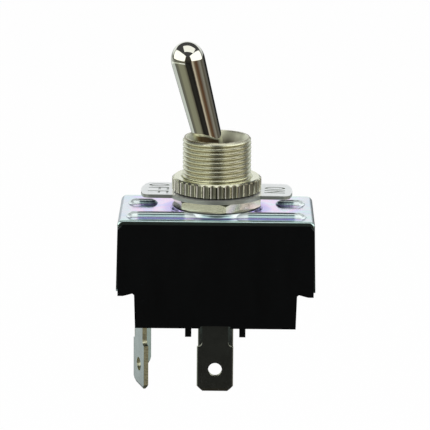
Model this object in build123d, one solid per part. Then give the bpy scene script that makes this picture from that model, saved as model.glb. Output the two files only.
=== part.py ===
"""Panel toggle switch: threaded bushing, bat lever, pressed frame, two switched poles.

Millimetres. The origin is on the bushing's axis at the frame's top face. +Z points out of the
panel, X runs along the body with OFF at -X and ON at +X, and -Y is the front.
"""
from build123d import *
import math
import os

# Lever and its pivot
TILT = 14.4
PIVOT_Z = 6.3
BALL_R = 3.92
NECK_R = 1.95
SHOULDER_S = 4.8
SHOULDER_R = 2.39
DOME_S = 20.96
DOME_R = 2.93
TAIL_R = 1.7
TAIL_END_S = 14.0
PIN_R = 0.8
PIN_REACH = 4.7

# Bushing
THREAD_R = 5.953
THREAD_PITCH = 0.794
ENGAGED_R = THREAD_R - 0.325 * THREAD_PITCH
FREE_THREAD_GAP = 0.25
BUSHING_TOP = 12.84
RIM_R = 5.67
MOUTH_R = 5.2
THROAT_R = 3.0
SEAT_CLEARANCE = 0.08
COUNTERBORE_R = 4.3
COUNTERBORE_TOP = 3.0
SLOT_CLEARANCE = 0.05
SPIGOT_R = 5.0
STAKE_R = 6.0
STAKE_H = 0.55

# Frame
SHEET = 0.7
EDGE_ROUND = 0.3
FRAME_X = 17.0
FRAME_Y = 9.55
BEND_R = 1.0
EAR_Y = 8.0
EAR_BOTTOM = -13.1
EAR_FLARE = 0.3
EAR_CHAMFER = 0.45
FINGER_Y = 3.0
FINGER_X = 15.0
BEAD_W = 2.65
BEAD_H = 0.8
BEAD_OUTER_X = 15.6
FRONT_BEAD_INNER_X = 2.6
REAR_BEAD_INNER_X = 10.3
FRONT_BEAD_Y = -6.0
REAR_BEAD_Y = 3.4
BOSS_H = 0.85
BOSS_TOP_R = 7.46
BOSS_SLOPE = 0.8

# Nuts and plate
HEX_ACROSS = 14.0
HEX_H = 1.85
HEX_TURN = -78.2
HEX_TOP_CHAMFER = (0.95, 0.55)
HEX_BOTTOM_CHAMFER = (0.62, 0.25)
NUT_CLEARANCE = 0.05
PLATE_T = 0.6
PLATE_RING_R = 8.7
PLATE_TAB_X = 13.2
PLATE_TAB_HALF = 4.6
PLATE_TAB_OFFSET = 0.5
PLATE_TURN = -1.3
PLATE_HOLE_CLEARANCE = 0.1
PLATE_CORNER_R = 1.3
KNURL_WALL = 1.837
KNURL_R = THREAD_R + KNURL_WALL
KNURL_H = 2.6
FLUTE_COUNT = 38
FLUTE_R = 0.57
FLUTE_DEPTH = 0.3
KNURL_CHAMFER = (0.42, 0.34)
COUNTERSINK = 0.55

# Letters stamped in the plate
LETTER_H = 3.6
LETTER_W = 1.9
LETTER_MIDDLE_X = 10.15
LETTER_PITCH = 2.62
STROKE = 0.38
STAMP_DEPTH = 0.12

# Case
CASE_TOP = -SHEET
CASE_X = 16.95
CASE_Y = 9.55
CORNER_CLEARANCE = 0.05
WING_BOTTOM = -13.42
WING_FLAT_X = 16.0
WING_ROOT = (14.4, -12.98)
BLOCK_TOP = (14.09, -13.25)
BLOCK_BOTTOM = (13.93, -19.15)
POCKET_X = 13.3
POCKET_Y = 8.3
FLOOR_Z = -15.35
PARTITION_HALF = 0.7
PARTITION_TOP = -10.3
EAR_CLEARANCE = 0.05
NUB_X = 4.7
NUB_W = 1.08
NUB_D = 1.4
NUB_BOTTOM = -20.75
NUB_INSET = 0.3
NOTCH_W = 5.2
NOTCH_H = 0.45
SHEET_LEDGE = 0.6
INSULATOR_T = 0.4
INSULATOR_CLEARANCE = 0.1
INSULATOR_HOLE_R = STAKE_R + 6 * INSULATOR_CLEARANCE

# Terminals
TAB_T = 0.8
TAB_W = 6.35
NECK_W = 4.5
TAB_BOTTOM = -30.8
TAB_SHOULDER = -22.8
TAB_CHAMFER = 1.0
TAB_HOLE_R = 1.2
TAB_HOLE_Z = -26.85
TAB_COIN = 0.22
SHOULDER_FILLET = 0.85
COMMON_Y = 8.2
END_TERMINAL_XY = (13.0, 5.42)
END_TURN = 18.3
TANG_INNER = 2.25
TANG_OUTER = 0.6
ARM_REACH = 6.0
TERMINAL_CLEARANCE = 0.05

# Mechanism
POLE_Y = 4.85
PLUNGER_R = 1.4
PLUNGER_CLEARANCE = 0.05
ACTUATOR_TOP_S = 9.4
ACTUATOR_BOTTOM_S = 15.6
ACTUATOR_HALF_X = 2.6
ACTUATOR_WALL = 0.65
ACTUATOR_HALF_Y = POLE_Y + PLUNGER_R + PLUNGER_CLEARANCE + ACTUATOR_WALL
ACTUATOR_EDGE = 0.4
PLUNGER_TIP_S = 18.9
PLUNGER_TOP_S = 13.6
SPRING_TOP_S = 10.4
SPRING_WIRE_R = 0.2
SPRING_R = 1.05
SPRING_TURNS = 5
SPRING_CLEARANCE = 0.03
ROCKER_TILT = 9.0
ROCKER_Z = -14.4
ROCKER_T = 0.8
ROCKER_HALF_Y = 2.1
ROCKER_SHORT_X = 6.2
ROCKER_LONG_X = 9.3
TIP_CLEARANCE = 0.06
RIDGE_R = 0.8
HUB_WALL = 0.75
HUB_BOTTOM = 0.3
CONTACT_INSET = 1.1
CONTACT_X = ROCKER_LONG_X - CONTACT_INSET
CONTACT_R = 1.5
CONTACT_T = 0.9
CONTACT_GAP = 0.05
STOP_CLEARANCE = 0.1

SIDES = {"front": -1, "rear": 1}
TILTED = Pos(0, 0, PIVOT_Z) * Rot(0, -TILT, 0)


def block(x0, x1, y0, y1, z0, z1):
    """Box between two corners."""
    return Pos((x0 + x1) / 2, (y0 + y1) / 2, (z0 + z1) / 2) * Box(x1 - x0, y1 - y0, z1 - z0)


def disc(radius, z0, z1):
    """Upright cylinder between two levels."""
    return Pos(0, 0, (z0 + z1) / 2) * Cylinder(radius, z1 - z0)


def turned(points):
    """Solid of revolution about Z from (radius, height) points."""
    outline = Polyline(*[(r, 0, z) for r, z in points], close=True)
    return revolve(make_face(outline), Axis.Z)


def section(points, y0, y1):
    """Prism along Y from (x, z) points."""
    outline = Polyline(*[(x, y0, z) for x, z in points], close=True)
    return extrude(make_face(outline), amount=y1 - y0, dir=(0, 1, 0))


def mirrored(points):
    """Outline of one half, closed with its mirror image in X."""
    return points + [(-x, z) for x, z in reversed(points)]


def both_ends(shape):
    return shape + mirror(shape, Plane.YZ)


# Frame

def bead_body(x0, x1, y, z, width, height):
    """Capsule with a round back: a bead, or the hollow under one."""
    radius = (width ** 2 / 4 + height ** 2) / (2 * height)
    centre = height - radius
    straight = Pos((x0 + x1) / 2, 0, centre) * Rot(0, 90, 0) * Cylinder(radius, x1 - x0 - width)
    ends = [Pos(x, 0, centre) * Sphere(radius) for x in (x0 + width / 2, x1 - width / 2)]
    above = block(x0 - width, x1 + width, -width, width, 0, height + 1)
    caps = [end & above for end in ends]
    return Pos(0, y, z) * ((straight & above) + caps[0] + caps[1])


def bent_top(inset):
    """Solid under the sheet's top and its two bends, a distance inside the outer face."""
    half = FRAME_X - inset
    reach = FRAME_Y + inset
    slab = block(-half, half, -reach, reach, -2 * BEND_R, -inset)
    slab = fillet(slab.edges().filter_by(Axis.Y).group_by(Axis.Z)[-1], BEND_R - inset)
    if inset:
        return slab
    rims = slab.faces().group_by(Axis.Y)[0].edges() + slab.faces().group_by(Axis.Y)[-1].edges()
    return fillet([rim for rim in rims if rim.center().Z > -1.9 * BEND_R], EDGE_ROUND)


def boss(inset):
    """Round pad pressed up under the hex nut, a distance inside its outer face."""
    shift = inset / 2
    top = BOSS_TOP_R - shift
    base = BOSS_TOP_R + BOSS_SLOPE - shift
    low = -inset
    high = BOSS_H - inset
    flank = Spline((base, 0, low), ((base + top) / 2, 0, (low + high) / 2), (top, 0, high),
                   tangents=((-1, 0, 0), (-1, 0, 0)))
    foot = low - EDGE_ROUND
    rest = Polyline((top, 0, high), (0, 0, high), (0, 0, foot), (base, 0, foot), (base, 0, low))
    return revolve(make_face(flank + rest), Axis.Z)


def make_frame():
    far = FRAME_X + EAR_FLARE + 1
    channel = bent_top(0) - bent_top(SHEET) - block(-far, far, -far, far, -2 * BEND_R - 1, -BEND_R)
    outer = [(FRAME_X, -BEND_R), (FRAME_X + EAR_FLARE, EAR_BOTTOM)]
    inner = [(x - SHEET, z) for x, z in reversed(outer)]
    channel += both_ends(section(outer + inner, -EAR_Y, EAR_Y))
    for side in (-1, 1):
        corner = Pos(0, side * EAR_Y, EAR_BOTTOM) * Rot(45, 0, 0)
        channel -= corner * Box(2 * far, EAR_CHAMFER * math.sqrt(2), EAR_CHAMFER * math.sqrt(2))
    finger = block(FINGER_X, FRAME_X + EAR_FLARE - SHEET / 2, -FINGER_Y, FINGER_Y,
                   EAR_BOTTOM, EAR_BOTTOM + SHEET)
    channel += both_ends(finger)
    spans = [(FRONT_BEAD_Y, FRONT_BEAD_INNER_X), (REAR_BEAD_Y, REAR_BEAD_INNER_X)]
    hollow_w = BEAD_W - 1.4 * SHEET
    channel += boss(0)
    for y, inner_x in spans:
        ridge = bead_body(inner_x, BEAD_OUTER_X, y, 0, BEAD_W, BEAD_H)
        hollow = bead_body(inner_x + SHEET / 2, BEAD_OUTER_X - SHEET / 2, y, -SHEET, hollow_w, BEAD_H)
        channel = channel + both_ends(ridge) - both_ends(hollow)
    return channel - boss(SHEET) - disc(SPIGOT_R + SLOT_CLEARANCE, -SHEET - 1, BOSS_H + 1)


# Bushing and lever

def make_bushing():
    seat_r = BALL_R + SEAT_CLEARANCE
    throat_z = PIVOT_Z + math.sqrt(seat_r ** 2 - THROAT_R ** 2)
    rim_drop = (THREAD_R - RIM_R) * 1.25
    free_z = plate_levels()[1] + KNURL_H + FREE_THREAD_GAP
    foot = BOSS_H - SHEET
    low = foot - STAKE_H
    body = turned([(0, BOSS_H), (ENGAGED_R, BOSS_H), (ENGAGED_R, free_z), (THREAD_R, free_z),
                   (THREAD_R, BUSHING_TOP - rim_drop), (RIM_R, BUSHING_TOP), (0, BUSHING_TOP)])
    body += disc(SPIGOT_R, low, BOSS_H)
    body += disc(STAKE_R, low, foot)
    body -= disc(seat_r, low - 1, PIVOT_Z)
    body -= Pos(0, 0, PIVOT_Z) * Sphere(seat_r)
    body -= disc(COUNTERBORE_R, low - 1, COUNTERBORE_TOP)
    body -= turned([(0, throat_z - 0.5), (THROAT_R, throat_z - 0.5), (THROAT_R, throat_z),
                    (MOUTH_R, BUSHING_TOP), (MOUTH_R, BUSHING_TOP + 1), (0, BUSHING_TOP + 1)])
    slot_half = PIN_R + SLOT_CLEARANCE
    reach = PIN_REACH + SLOT_CLEARANCE * 2
    body -= block(-slot_half, slot_half, -reach, reach, low - 1, PIVOT_Z)
    body -= Pos(0, 0, PIVOT_Z) * Rot(90, 0, 0) * Cylinder(slot_half, 2 * reach)
    return body


def pin_body():
    return Rot(90, 0, 0) * Cylinder(PIN_R, 2 * PIN_REACH)


def make_lever():
    edge = 0.2
    bat = turned([(0, SHOULDER_S - 0.5), (NECK_R, SHOULDER_S - 0.5), (NECK_R, SHOULDER_S),
                  (SHOULDER_R - edge, SHOULDER_S), (SHOULDER_R, SHOULDER_S + edge),
                  (DOME_R, DOME_S), (0, DOME_S)])
    bat += Pos(0, 0, DOME_S) * Sphere(DOME_R)
    bat += disc(NECK_R, 0, SHOULDER_S)
    bat += Sphere(BALL_R)
    bat += disc(TAIL_R, -TAIL_END_S, 0)
    return TILTED * (bat - pin_body())


# Nuts and plate

def nut_bore_r():
    return ENGAGED_R + NUT_CLEARANCE


def make_hex_nut():
    z0 = BOSS_H
    z1 = BOSS_H + HEX_H
    corner_r = HEX_ACROSS / math.sqrt(3)
    prism = Pos(0, 0, z0) * Rot(0, 0, HEX_TURN) * extrude(RegularPolygon(corner_r, 6), amount=HEX_H)
    top_r, top_h = HEX_TOP_CHAMFER
    low_r, low_h = HEX_BOTTOM_CHAMFER
    envelope = turned([(0, z0), (corner_r - low_r, z0), (corner_r, z0 + low_h), (corner_r, z1 - top_h),
                       (corner_r - top_r, z1), (0, z1)])
    return (prism & envelope) - disc(nut_bore_r(), z0 - 1, z1 + 1)


def plate_levels():
    z0 = BOSS_H + HEX_H
    return z0, z0 + PLATE_T


def bar(x0, y0, x1, y1):
    """One straight stroke of a letter between two points of its box."""
    length = math.hypot(x1 - x0, y1 - y0) + STROKE
    turn = math.degrees(math.atan2(y1 - y0, x1 - x0))
    return Pos((x0 + x1) / 2, (y0 + y1) / 2) * Rot(0, 0, turn) * Box(length, STROKE, 2 * STAMP_DEPTH)


def letter(name):
    """Letter as stamping strokes, centred on its box, top towards +Y."""
    w = (LETTER_W - STROKE) / 2
    h = (LETTER_H - STROKE) / 2
    if name == "O":
        ring = extrude(Ellipse(w + STROKE / 2, h + STROKE / 2) - Ellipse(w - STROKE / 2, h - STROKE / 2),
                       amount=2 * STAMP_DEPTH)
        return Pos(0, 0, -STAMP_DEPTH) * ring
    if name == "F":
        return bar(-w, -h, -w, h) + bar(-w, h, w, h) + bar(-w, 0.1 * h, 0.6 * w, 0.1 * h)
    return bar(-w, -h, -w, h) + bar(w, -h, w, h) + bar(-w, h, w, -h)


def make_legend_plate():
    z0, z1 = plate_levels()
    arc = disc(PLATE_TAB_X, z0, z1)
    tabs = arc & block(-PLATE_TAB_X - 1, PLATE_TAB_X + 1, PLATE_TAB_OFFSET - PLATE_TAB_HALF,
                       PLATE_TAB_OFFSET + PLATE_TAB_HALF, z0, z1)
    tabs = fillet(tabs.edges().filter_by(Axis.Z), PLATE_CORNER_R)
    plate = tabs + disc(PLATE_RING_R, z0, z1)
    plate -= disc(THREAD_R + PLATE_HOLE_CLEARANCE, z0 - 1, z1 + 1)
    for word, x in (("OFF", -LETTER_MIDDLE_X), ("ON", LETTER_MIDDLE_X)):
        first = PLATE_TAB_OFFSET + LETTER_PITCH * (len(word) - 1) / 2
        for index, name in enumerate(word):
            plate -= Pos(x, first - index * LETTER_PITCH, z1) * Rot(0, 0, -90) * letter(name)
    return Rot(0, 0, PLATE_TURN) * plate


def make_knurled_nut():
    z0 = plate_levels()[1]
    z1 = z0 + KNURL_H
    cut_r, cut_h = KNURL_CHAMFER
    nut = turned([(0, z0), (KNURL_R - cut_r, z0), (KNURL_R, z0 + cut_h), (KNURL_R, z1 - cut_h),
                  (KNURL_R - cut_r, z1), (0, z1)])
    centre = KNURL_R - FLUTE_DEPTH + FLUTE_R
    flute = Pos(centre, 0, (z0 + z1) / 2) * Cylinder(FLUTE_R, KNURL_H + 2)
    for index in range(FLUTE_COUNT):
        nut -= Rot(0, 0, 360 * index / FLUTE_COUNT) * flute
    bore_r = nut_bore_r()
    nut -= disc(bore_r, z0 - 1, z1 + 1)
    return nut - turned([(0, z1 - COUNTERSINK), (bore_r, z1 - COUNTERSINK),
                         (bore_r + COUNTERSINK, z1), (0, z1)])


# Terminals

def tab_outline(neck_top):
    """Flat terminal blade standing in the XZ plane, centred on X."""
    half = TAB_W / 2
    neck = NECK_W / 2
    points = [(half - TAB_CHAMFER, TAB_BOTTOM), (half, TAB_BOTTOM + TAB_CHAMFER),
              (half, TAB_SHOULDER), (neck + SHOULDER_FILLET, TAB_SHOULDER)]
    for step in range(1, 7):
        angle = math.radians(90 * step / 6)
        points.append((neck + SHOULDER_FILLET * (1 - math.sin(angle)),
                       TAB_SHOULDER + SHOULDER_FILLET * (1 - math.cos(angle))))
    points.append((neck, neck_top))
    return points


def make_blade(neck_top):
    """Blade with a hole, chamfered corners and a coined tip."""
    blade = section(mirrored(tab_outline(neck_top)), -TAB_T / 2, TAB_T / 2)
    blade -= Pos(0, 0, TAB_HOLE_Z) * Rot(90, 0, 0) * Cylinder(TAB_HOLE_R, TAB_T + 2)
    for side in (-1, 1):
        face = side * TAB_T / 2
        wedge = Polyline((0, face - side * TAB_COIN, TAB_BOTTOM), (0, face + side, TAB_BOTTOM),
                         (0, face + side, TAB_BOTTOM + 2.5 * TAB_COIN), (0, face, TAB_BOTTOM + 2.5 * TAB_COIN),
                         close=True)
        blade -= Pos(-TAB_W, 0, 0) * extrude(make_face(wedge), amount=2 * TAB_W, dir=(1, 0, 0))
    return blade


def make_common_terminal(side):
    """Centre terminal: blade, inner leg on the case floor and the ridge that the rocker teeters on."""
    leg_top = FLOOR_Z + TAB_T
    blade = Pos(0, side * COMMON_Y, 0) * make_blade(leg_top)
    inner = POLE_Y - ROCKER_HALF_Y - 0.05
    outer = COMMON_Y
    y0, y1 = sorted((side * inner, side * outer))
    leg = block(-NECK_W / 2, NECK_W / 2, y0, y1, FLOOR_Z, leg_top)
    ridge = Pos(0, side * POLE_Y, ROCKER_Z) * Rot(90, 0, 0) * Cylinder(RIDGE_R, 2 * ROCKER_HALF_Y)
    return blade + leg + ridge


def end_place(side):
    """Place of an end terminal's blade: its width runs along local X, inwards is local +Y."""
    x, y = END_TERMINAL_XY
    turn = -90 + END_TURN if side < 0 else -90 - END_TURN
    return Pos(-x, side * y, 0) * Rot(0, 0, turn)


def end_tang_span(side):
    """Span of the tang across the blade, in the blade's local X."""
    return (-TANG_OUTER, TANG_INNER) if side < 0 else (-TANG_INNER, TANG_OUTER)


def fixed_contact_top():
    """Level that the moving contact reaches when the rocker is down on that side."""
    x, z = to_world(-CONTACT_X, rocker_wing_top(CONTACT_X) - rocker_wing_drop(), -ROCKER_TILT)
    return z - CONTACT_T - CONTACT_GAP


def contact_place():
    """X of the closed contact pair."""
    return to_world(-CONTACT_X, rocker_wing_top(CONTACT_X) - rocker_wing_drop(), -ROCKER_TILT)[0]


def make_end_terminal(side):
    """End terminal: angled blade, narrow tang through the floor, arm under the fixed contact."""
    arm_top = fixed_contact_top() - CONTACT_T
    arm_low = arm_top - TAB_T
    case_bottom = BLOCK_BOTTOM[1]
    blade = make_blade(case_bottom)
    t0, t1 = end_tang_span(side)
    tang = block(t0, t1, -TAB_T / 2, TAB_T / 2, case_bottom - 0.5, arm_top)
    arm = block(t0, t1, -TAB_T / 2, ARM_REACH, arm_low, arm_top)
    return end_place(side) * (blade + tang + arm)


def make_fixed_contact(side):
    top = fixed_contact_top()
    return Pos(contact_place(), side * POLE_Y, 0) * disc(CONTACT_R, top - CONTACT_T, top)


# Rocker, worked out from the path of the plunger's tip

def to_world(x, z, angle):
    """Point of the level rocker, turned about its ridge by an angle about +Y."""
    a = math.radians(angle)
    return x * math.cos(a) + z * math.sin(a), -x * math.sin(a) + z * math.cos(a) + ROCKER_Z


def tip_in_rocker(tilt):
    """Centre of the plunger's tip in the rocker's own frame, at a lever tilt towards -X."""
    reach = PLUNGER_TIP_S - PLUNGER_R
    a = math.radians(tilt)
    x = reach * math.sin(a)
    z = PIVOT_Z - reach * math.cos(a) - ROCKER_Z
    b = math.radians(ROCKER_TILT * tilt / TILT)
    return x * math.cos(b) - z * math.sin(b), x * math.sin(b) + z * math.cos(b)


def saddle():
    """Radius and centre height of the rocker's curved top, a clearance below the tip's path."""
    x, z_end = tip_in_rocker(TILT)
    z_low = tip_in_rocker(0)[1]
    rise = z_end - z_low
    path_r = (x ** 2 + rise ** 2) / (2 * rise)
    return path_r + PLUNGER_R + TIP_CLEARANCE, z_low + path_r


def saddle_edge():
    """Angle where the curved top ends, just past the tip's resting place."""
    x, z = tip_in_rocker(TILT)
    radius, centre = saddle()
    return math.asin(x / (radius - PLUNGER_R - TIP_CLEARANCE)) + math.radians(2)


def rocker_wing_top(x):
    """Height of the flat wing's top at a distance from the ridge, level when that side is down."""
    radius, centre = saddle()
    edge = saddle_edge()
    start_x = radius * math.sin(edge)
    start_z = centre - radius * math.cos(edge)
    return start_z + (x - start_x) * math.tan(math.radians(ROCKER_TILT))


def rocker_wing_drop():
    """Height of the wing's section, top to underside."""
    return ROCKER_T / math.cos(math.radians(ROCKER_TILT))


def rocker_half(end_x):
    """Top and underside of one half of the rocker as (x, z) points from the middle out."""
    radius, centre = saddle()
    edge = saddle_edge()
    top = []
    low = []
    for step in range(9):
        a = edge * step / 8
        top.append((radius * math.sin(a), centre - radius * math.cos(a)))
        low.append(((radius + ROCKER_T) * math.sin(a), centre - (radius + ROCKER_T) * math.cos(a)))
    low_x = low[-1][0] + 0.1
    top.append((end_x, rocker_wing_top(end_x)))
    low.append((low_x, rocker_wing_top(low_x) - rocker_wing_drop()))
    low.append((end_x, rocker_wing_top(end_x) - rocker_wing_drop()))
    return top, low


def rocker_place(side):
    return Pos(0, side * POLE_Y, ROCKER_Z) * Rot(0, ROCKER_TILT, 0)


def make_rocker(side):
    right_top, right_low = rocker_half(ROCKER_SHORT_X)
    left_top, left_low = rocker_half(ROCKER_LONG_X)
    outline = [(-x, z) for x, z in reversed(left_top)] + right_top[1:]
    outline += list(reversed(right_low)) + [(-x, z) for x, z in left_low[1:]]
    strip = section(outline, -ROCKER_HALF_Y, ROCKER_HALF_Y)
    radius, centre = saddle()
    hub_r = RIDGE_R + SLOT_CLEARANCE + HUB_WALL
    hub = Rot(90, 0, 0) * Cylinder(hub_r, 2 * ROCKER_HALF_Y)
    hub &= block(-hub_r, hub_r, -ROCKER_HALF_Y, ROCKER_HALF_Y, HUB_BOTTOM, centre - radius - 0.2)
    groove = Rot(90, 0, 0) * Cylinder(RIDGE_R + SLOT_CLEARANCE, 2 * ROCKER_HALF_Y + 2)
    return rocker_place(side) * (strip + hub - groove)


def make_moving_contact(side):
    """Button under the long wing, square to that wing."""
    z = rocker_wing_top(CONTACT_X) - rocker_wing_drop()
    button = Pos(0, 0, -CONTACT_T / 2) * Cylinder(CONTACT_R, CONTACT_T)
    return rocker_place(side) * Pos(-CONTACT_X, 0, z) * Rot(0, ROCKER_TILT, 0) * button


# Actuator, plungers and springs, all along the tilted tail

def make_actuator():
    body = block(-ACTUATOR_HALF_X, ACTUATOR_HALF_X, -ACTUATOR_HALF_Y, ACTUATOR_HALF_Y,
                 -ACTUATOR_BOTTOM_S, -ACTUATOR_TOP_S)
    body = fillet(body.edges().filter_by(Axis.Z), ACTUATOR_EDGE)
    body -= disc(TAIL_R, -TAIL_END_S, -ACTUATOR_TOP_S + 1)
    bore = disc(PLUNGER_R + PLUNGER_CLEARANCE, -ACTUATOR_BOTTOM_S - 1, -SPRING_TOP_S)
    for side in SIDES.values():
        body -= Pos(0, side * POLE_Y, 0) * bore
    return TILTED * body


def make_plunger(side):
    tip_centre = PLUNGER_TIP_S - PLUNGER_R
    plunger = disc(PLUNGER_R, -tip_centre, -PLUNGER_TOP_S) + Pos(0, 0, -tip_centre) * Sphere(PLUNGER_R)
    return TILTED * Pos(0, side * POLE_Y, 0) * plunger


def make_spring(side):
    height = PLUNGER_TOP_S - SPRING_TOP_S - 2 * (SPRING_WIRE_R + SPRING_CLEARANCE)
    start = -PLUNGER_TOP_S + SPRING_WIRE_R + SPRING_CLEARANCE
    path = Helix(pitch=height / SPRING_TURNS, height=height, radius=SPRING_R)
    wire = Plane(origin=path @ 0, z_dir=path % 0) * Circle(SPRING_WIRE_R)
    coil = sweep(wire, path=path, is_frenet=True)
    return TILTED * Pos(0, side * POLE_Y, start) * coil


# Case and insulator

def case_outline():
    chamfer = CASE_X - FRAME_X + BEND_R + CORNER_CLEARANCE
    return [(0, CASE_TOP), (CASE_X - chamfer, CASE_TOP), (CASE_X, CASE_TOP - chamfer),
            (CASE_X, WING_BOTTOM), (WING_FLAT_X, WING_BOTTOM), WING_ROOT, BLOCK_TOP, BLOCK_BOTTOM,
            (0, BLOCK_BOTTOM[1])]


def make_case():
    half = case_outline()
    body = section(half + [(-x, z) for x, z in reversed(half) if x > 0], -CASE_Y, CASE_Y)
    ear_in = FRAME_X - SHEET - EAR_CLEARANCE
    ear_side = EAR_Y + 3 * EAR_CLEARANCE
    recess = block(ear_in, CASE_X + 1, -ear_side, ear_side, WING_BOTTOM - 1, CASE_TOP + 1)
    under = block(FINGER_X - 2 * EAR_CLEARANCE, CASE_X + 1, -FINGER_Y - 0.2, FINGER_Y + 0.2,
                  WING_BOTTOM - 1, EAR_BOTTOM + SHEET)
    body -= both_ends(recess + under)
    bottom = BLOCK_BOTTOM[1]
    body -= block(-POCKET_X, POCKET_X, PARTITION_HALF, POCKET_Y, FLOOR_Z, CASE_TOP + 1)
    body -= block(-POCKET_X, POCKET_X, -POCKET_Y, -PARTITION_HALF, FLOOR_Z, CASE_TOP + 1)
    body -= block(-POCKET_X, POCKET_X, -POCKET_Y, POCKET_Y, PARTITION_TOP, CASE_TOP + 1)
    ledge_x = POCKET_X + SHEET_LEDGE
    ledge_y = POCKET_Y + SHEET_LEDGE
    body -= block(-ledge_x, ledge_x, -ledge_y, ledge_y, CASE_TOP - INSULATOR_T, CASE_TOP + 1)
    gap = TERMINAL_CLEARANCE
    for side in SIDES.values():
        slot = block(-NECK_W / 2 - gap, NECK_W / 2 + gap, side * COMMON_Y - TAB_T / 2 - gap,
                     side * COMMON_Y + TAB_T / 2 + gap, bottom - 1, FLOOR_Z + TAB_T + 0.3)
        y0, y1 = sorted((side * COMMON_Y, side * (CASE_Y + 1)))
        notch = block(-NOTCH_W / 2, NOTCH_W / 2, y0, y1, bottom - 1, bottom + NOTCH_H)
        t0, t1 = end_tang_span(side)
        tang_slot = block(t0 - gap, t1 + gap, -TAB_T / 2 - gap, TAB_T / 2 + gap, bottom - 1,
                          fixed_contact_top() - CONTACT_T + 0.3)
        body = body - slot - notch - end_place(side) * tang_slot
        nub_y0, nub_y1 = sorted((side * (CASE_Y - NUB_INSET), side * (CASE_Y - NUB_INSET - NUB_D)))
        nub = block(NUB_X - NUB_W / 2, NUB_X + NUB_W / 2, nub_y0, nub_y1, NUB_BOTTOM, bottom + 0.5)
        body += both_ends(nub)
        body += make_stop(side)
        body += make_arm_rest(side)
    return body


def make_stop(side):
    """Moulded stop under the rocker's short wing."""
    x_mid = (saddle()[0] * math.sin(saddle_edge()) + ROCKER_SHORT_X) / 2 + 0.3
    x, z = to_world(x_mid, rocker_wing_top(x_mid) - rocker_wing_drop(), ROCKER_TILT)
    y0, y1 = sorted((side * (POLE_Y - ROCKER_HALF_Y), side * (POLE_Y + ROCKER_HALF_Y)))
    return block(x - 0.7, x + 1.2, y0, y1, FLOOR_Z - 0.5, z - STOP_CLEARANCE)


def make_arm_rest(side):
    """Pad on the floor that carries the end terminal's arm."""
    low = fixed_contact_top() - CONTACT_T - TAB_T
    t0, t1 = end_tang_span(side)
    return end_place(side) * block(t0, t1, TAB_T / 2 + TERMINAL_CLEARANCE, ARM_REACH, FLOOR_Z - 0.5, low)


def make_insulator():
    x = POCKET_X + SHEET_LEDGE - INSULATOR_CLEARANCE
    y = POCKET_Y + SHEET_LEDGE - INSULATOR_CLEARANCE
    sheet = block(-x, x, -y, y, CASE_TOP - INSULATOR_T, CASE_TOP)
    return sheet - disc(INSULATOR_HOLE_R, CASE_TOP - 1, CASE_TOP + 1)


def all_parts():
    parts = {
        "frame": make_frame(),
        "bushing": make_bushing(),
        "lever": make_lever(),
        "pivot_pin": TILTED * pin_body(),
        "knurled_nut": make_knurled_nut(),
        "legend_plate": make_legend_plate(),
        "hex_nut": make_hex_nut(),
        "case": make_case(),
        "insulator_sheet": make_insulator(),
        "actuator": make_actuator(),
    }
    for name, side in SIDES.items():
        parts["plunger_" + name] = make_plunger(side)
        parts["spring_" + name] = make_spring(side)
        parts["rocker_" + name] = make_rocker(side)
        parts["moving_contact_" + name] = make_moving_contact(side)
        parts["common_terminal_" + name] = make_common_terminal(side)
        parts["end_terminal_" + name] = make_end_terminal(side)
        parts["fixed_contact_" + name] = make_fixed_contact(side)
    return parts


os.makedirs("parts", exist_ok=True)
for node, shape in all_parts().items():
    export_step(shape, "parts/" + node + ".step")
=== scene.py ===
"""Panel toggle switch: cut thread, bat lever, springs, plated finishes and a plain studio.

Everything is in metres in the switch's own frame: the origin is on the bushing's axis at the top
face of the sheet metal frame, +Z points out of the panel and ON is at +X.
"""

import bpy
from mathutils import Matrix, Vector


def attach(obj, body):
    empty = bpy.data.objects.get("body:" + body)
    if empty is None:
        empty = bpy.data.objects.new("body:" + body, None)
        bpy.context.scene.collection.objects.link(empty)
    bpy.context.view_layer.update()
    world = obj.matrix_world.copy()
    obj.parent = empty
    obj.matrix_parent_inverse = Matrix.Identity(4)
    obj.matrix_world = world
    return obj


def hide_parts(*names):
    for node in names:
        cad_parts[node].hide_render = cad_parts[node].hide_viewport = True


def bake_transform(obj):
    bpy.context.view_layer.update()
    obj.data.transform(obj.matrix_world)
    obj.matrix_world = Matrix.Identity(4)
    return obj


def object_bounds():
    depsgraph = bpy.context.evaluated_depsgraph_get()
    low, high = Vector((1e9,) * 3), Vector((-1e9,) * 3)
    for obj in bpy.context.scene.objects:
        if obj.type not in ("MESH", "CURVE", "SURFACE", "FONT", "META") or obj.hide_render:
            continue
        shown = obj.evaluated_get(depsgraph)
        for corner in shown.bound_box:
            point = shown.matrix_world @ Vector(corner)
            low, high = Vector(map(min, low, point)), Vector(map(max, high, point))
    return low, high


bl_info = {
    "name": "Panel Toggle Switch",
    "version": (1, 0, 0),
    "blender": (4, 5, 0),
    "location": "View3D > Sidebar > Toggle Switch",
    "description": "Cut thread, lever, springs, finishes and studio for a panel toggle switch",
    "category": "Object",
}

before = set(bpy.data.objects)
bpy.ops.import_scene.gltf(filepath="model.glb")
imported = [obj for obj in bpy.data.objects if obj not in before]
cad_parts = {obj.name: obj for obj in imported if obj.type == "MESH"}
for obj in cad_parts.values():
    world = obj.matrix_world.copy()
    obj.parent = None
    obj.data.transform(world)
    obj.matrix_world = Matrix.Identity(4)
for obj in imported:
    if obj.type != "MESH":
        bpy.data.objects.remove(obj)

import math

import bmesh
import bpy
from bpy.props import FloatProperty, FloatVectorProperty, IntProperty, PointerProperty
from mathutils import Matrix, Vector

CAD_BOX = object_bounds()
MM = 0.001
# The poles, the sign of Y of each, and how near two points count as one
POLES = ("front", "rear")
SIDES = (-1, 1)
MERGE = 0.0005 * MM

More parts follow.
